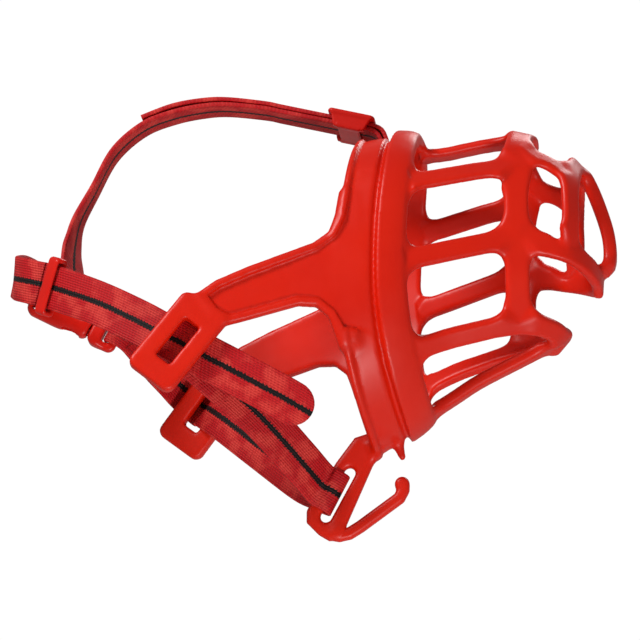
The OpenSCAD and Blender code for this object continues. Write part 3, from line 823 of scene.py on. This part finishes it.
def straps():
    """Every length of webbing, and the bodies that each rides on or bends between."""
    near = [(-134.5, -14.5, 51.6), (-124, -27, 40.5), (-111.4, -41.5, 26.7), (-98, -52.5, 11),
            (-90.5, -57, 2), (-84.5, -58.8, -4.2), (-73.8, -58.2, -15.8), (-66, -56.8, -23.6),
            (-50, -54, -40), (-43.6, -52.4, -46.8)]
    turned = [W_BACK, (0.42, 0, 0.9), W_NECK, W_NECK] + [W_SLOT] * 3 + [W_NECK] * 3
    strap, _ = webbing("near_neck_strap", near, turned, round_end=True)
    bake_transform(strap)
    finish(strap, "webbing", "neck_strap_right", "loose_tail")

    loop = [(-134.6, 25, 59.6), (-138, 25, 63), (-140, 24.8, 65), (-142.6, 22.4, 67.2),
            (-144.6, 18, 67.8), (-145.8, 12, 66.4), (-146, 5, 63.8), (-144.4, -2, 60.8),
            (-141.4, -7.9, 57.4), (-138.2, -11.4, 54.5), (-134.9, -14.2, 51.9)]
    turned = [W_NECK] * 4 + [(0.62, 0, 0.78), (0.5, 0, 0.86)] + [W_BACK] * 5
    strap, _ = webbing("rear_bend_strap", loop, turned)
    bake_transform(strap)
    finish(strap, "webbing", "rear_bend")

    plug_turn = [(14.6, 1.2), (14.5, -1.4), (16.4, -3.3), (19.6, -3.2), (22.2, -1.6)]
    far = [(-120 + p * C45, 25 + q, 45 - p * C45) for p, q in plug_turn]
    far += [(-102.8, 27.4, 27.6), (-101.7, 32, 25.8), (-100.8, 36.8, 24.4), (-98.9, 45, 21),
            (-96.2, 55, 16.8), (-92.6, 64.4, 11.2), (-89.4, 69.6, 5.8), (-86.4, 71.4, 0.6),
            (-84, 70.8, -3.2), (-82.6, 68.2, -5.8), (-82.1, 65.4, -6.6)]
    strap, lie = webbing("far_neck_strap", far, [W_NECK] * 11 + [W_SLOT] * 5, gap=1.3)
    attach(strap, "neck")
    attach(box_tack("plug_tack", lie, 15, 26, 7.5, 1), "neck")
    finish(strap, "webbing", "neck_strap_left")

    turn = [(-42.8, 5.4, -74.7), (-40.4, 4.4, -77.2), (-37.6, 2.6, -80)]
    chin = ([(-81.8, 61.6, -7.4), (-80.6, 59.2, -9.6), (-75.4, 51, -18.6), (-62.5, 34, -42),
             (-49.6, 13.6, -65.8), (-43, 5.6, -74.4)] + turn[1:] + [(-36.9, 0, -80.7)]
            + mirrored(turn[:0:-1], -1)
            + [(-43, -5.6, -74.4), (-48, -17, -65), (-59, -35.5, -44), (-72, -49.6, -24),
               (-83.5, -56.2, -5.4)])
    strap, _ = webbing("chin_strap", chin, [W_NECK] * len(chin), gap=1.4)
    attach(strap, "basket")
    finish(strap, "webbing", "chin_strap_left", "chin_loop", "chin_strap_right")

    steps = [-40 + 6.25 * k for k in range(9)]
    path = ([(-122.2, -6.8, 45.6), (-120.6, -6.2, 53.1), (-118.8, -4.8, 60.5), (-115.8, -2, 69),
             (-110.4, 0, 79), (-99.8, 0, 89.8), (-86, 0, 103.4)] + OVER_CROWN[::-1]
            + [under_slider(t) for t in steps] + [(30.4, 0, 71.4), (31, 0, 67), (30.8, 0, 60)])
    turned = [(0.38, 0.92, 0), (0.38, 0.92, 0), (0.33, 0.94, 0), (0.2, 0.98, 0), (0.08, 0.99, 0)]
    strap, _ = webbing("overhead_strap", path, turned + [(0, 1, 0)] * (len(path) - 5))
    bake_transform(strap)
    finish(strap, "webbing", "overhead_front", "overhead_rear")
    path = ([(x + 0.8, y, z + LAYER + 0.3 * k) for k, (x, y, z) in reversed(list(enumerate(OVER_CROWN)))]
            + [under_slider(t, LAYER) for t in steps] + [(32.8, 0, 72.9), (33.4, 0, 67), (33.1, 0, 60)])
    strap, lie = webbing("overhead_tail", path, [(0, 1, 0)] * len(path))
    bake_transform(strap)
    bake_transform(box_tack("overhead_tack", lie, 2.5, 13, 7.5, 2))
    finish(strap, "webbing", "overhead_tail", "overhead_tail_end")


def finish(piece, slot, *nodes):
    """Hides the frame's nodes that a piece stands for. The piece and the slot are not used."""
    if nodes:
        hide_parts(*nodes)


# ---------------------------------------------------------------- plastic hardware

def facing(spot, heading, width):
    """A frame on the webbing: X along the heading, Z along the webbing's width."""
    x = Vector(heading).normalized()
    w = Vector(width)
    z = (w - w.dot(x) * x).normalized()
    y = z.cross(x)
    place = Matrix((x, y, z)).transposed().to_4x4()
    place.translation = spot
    return place


def buckle_frame():
    """The closed buckle's own frame: X from socket to plug, Z along the webbing's width."""
    place = Matrix.Rotation(math.radians(45), 4, "Y")
    place.translation = (-120, 25, 45)
    return place


def buckle_socket():
    """Socket half: rounded shell, hollow for the prongs, side windows, webbing slot and thumb dip."""
    def shape(x, y, z):
        waist = 14 - 1.4 * np.exp(-((x + 1.5) / 4.5) ** 2)
        outline = box_edge(x + 9.5, z, 15.5, 14, 4) + (14 - waist) * (np.abs(z) > 6)
        shell = meet(outline, np.abs(y) - 4.5 + 0.006 * z * z, 2.6)
        hollow = np.maximum(np.maximum(np.abs(y) - 2.5, np.abs(z) - 11), np.abs(x + 1.9) - 8.5)
        windows = np.maximum(box_edge(x + 2, y, 4.5, 2.5, 1), np.abs(z) - 16)
        bar_slot = box_edge(x + 20.4, z, 2.2, 11, 1)
        dip = np.hypot(x + 1.5, z) - 6.5
        dished = np.maximum(dip, 3.9 - np.abs(y))
        out = meet(shell, -bar_slot, 1.0)
        out = meet(out, -dished, 0.8)
        return np.maximum(np.maximum(out, -hollow), -windows)
    piece = moulded("buckle_socket_shell", shape, (-27, -6, -16), (8, 6, 16), 0.42, PLASTIC,
                    buckle_frame())
    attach(piece, "socket")
    finish(piece, "plastic", "buckle_socket")


def buckle_plug():
    """Plug half: the webbing slot, a shoulder that meets the socket and the middle tongue."""
    def shape(x, y, z):
        slim = 4 - 1.8 * np.clip((x - 11.5) / 4, 0, 1)
        body = meet(box_edge(x - 13.2, z, 6.8, 14, 3.5), np.abs(y) - slim, 1.8)
        bar_slot = box_edge(x - 14.5, z, 1.8, 10.4, 1)
        body = meet(body, -bar_slot, 1.0)
        tongue = meet(box_edge(x - 1.5, z, 6, 2.5, 0.8), np.abs(y) - 2.1, 0.8)
        return join(body, tongue, 0.8)
    piece = moulded("buckle_plug_body", shape, (-7, -5.5, -16), (22, 5.5, 16), 0.42, PLASTIC,
                    buckle_frame())
    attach(piece, "neck")
    finish(piece, "plastic", "buckle_plug")


def buckle_prong(name, side, body, cad_node):
    """One springy prong: a slim arm with a thicker, rounded catch at its tip."""
    def shape(x, y, z):
        flat = outline_edge(x, side * z,
                            [(6, 8.3), (-6, 8.5), (-8.6, 9.4), (-8.5, 10.2), (-5, 10.6), (6, 10.6)])
        return meet(flat, np.abs(y) - 2.05, 0.7)
    z_low, z_high = sorted((side * 7, side * 12))
    piece = moulded(name, shape, (-10, -3, z_low), (8, 3, z_high), 0.3, PLASTIC, buckle_frame())
    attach(piece, body)
    finish(piece, "plastic", cad_node)


def keeper():
    """A flat plastic ring round both layers of the neck strap."""
    def shape(x, y, z):
        ring = np.maximum(box_edge(z, y, 13.5, 3.5, 2.2), -box_edge(z, y, 11.2, 1.6, 0.8))
        return meet(ring, np.abs(x) - 3.4, 1.6)
    place = facing((-131, -18.6, 48), (0.53, -0.63, -0.56), (0.34, 0, 0.94))
    piece = moulded("strap_keeper", shape, (-5, -5, -15), (5, 5, 15), 0.4, PLASTIC, place)
    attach(piece, "neck")
    finish(piece, "plastic", "keeper")


def slider():
    """Adjuster on the overhead strap: a flat top plate with an opening over its middle bar, two side
    walls, and a short bridge under the webbing."""
    def shape(x, y, z):
        plate = meet(box_edge(x, y, 11, 14, 2.6), np.maximum(z - 4, 2.45 - z), 1.2)
        slope = np.maximum(np.abs(x) - 8.2 - 0.35 * z, np.abs(y) - 13.9)
        walls = meet(np.maximum(slope, 10.6 - np.abs(y)), np.abs(z) - 3.8, 1.0)
        bridge = meet(np.maximum(np.abs(x) - 5, np.abs(y) - 13.6),
                      np.maximum(-4 - z, z + 2.45), 0.8)
        opening = np.maximum(box_edge(np.abs(x) - 5.2, y, 2.0, 9.6, 1), -z)
        return meet(join(join(plate, walls, 1.5), bridge, 1.0), -opening, 0.8)
    s, c = math.sin(SLIDER_TILT), math.cos(SLIDER_TILT)
    place = Matrix.Rotation(SLIDER_TILT, 4, "Y")
    place.translation = (SLIDER_AT[0] + s * LAYER / 2, 0, SLIDER_AT[2] + c * LAYER / 2)
    piece = moulded("overhead_slider", shape, (-13, -16, -6), (13, 16, 6), 0.4, PLASTIC, place)
    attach(piece, "slide")
    finish(piece, "plastic", "slider")


# ---------------------------------------------------------------- put together

RUBBER, PLASTIC, WEBBING, THREAD = basket_rubber(), buckle_plastic(), strap_webbing(), sewing_thread()
STITCH_ROWS = stitch_rows()
camera()
studio()

moulding = basket()
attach(moulding, "basket")
finish(moulding, "rubber", "rear_band", "crown_bar", "upper_bar_right", "upper_bar_left",
       "cheek_bar_right", "cheek_bar_left", "lower_bar_right", "lower_bar_left", "chin_bar",
       "cheek_ring", "nose_strut_right", "nose_strut_left", "nose_arch", "nose_bar",
       "side_arm_right", "side_arm_left", "slot_frame_right", "slot_frame_left", "chin_slot",
       "hook_spike")
hook = collar_hook()
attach(hook, "hook")
finish(hook, "rubber", "collar_hook")
straps()
buckle_socket()
buckle_plug()
buckle_prong("buckle_prong_upper", 1, "upper_prong", "prong_upper")
buckle_prong("buckle_prong_lower", -1, "lower_prong", "prong_lower")
keeper()
slider()
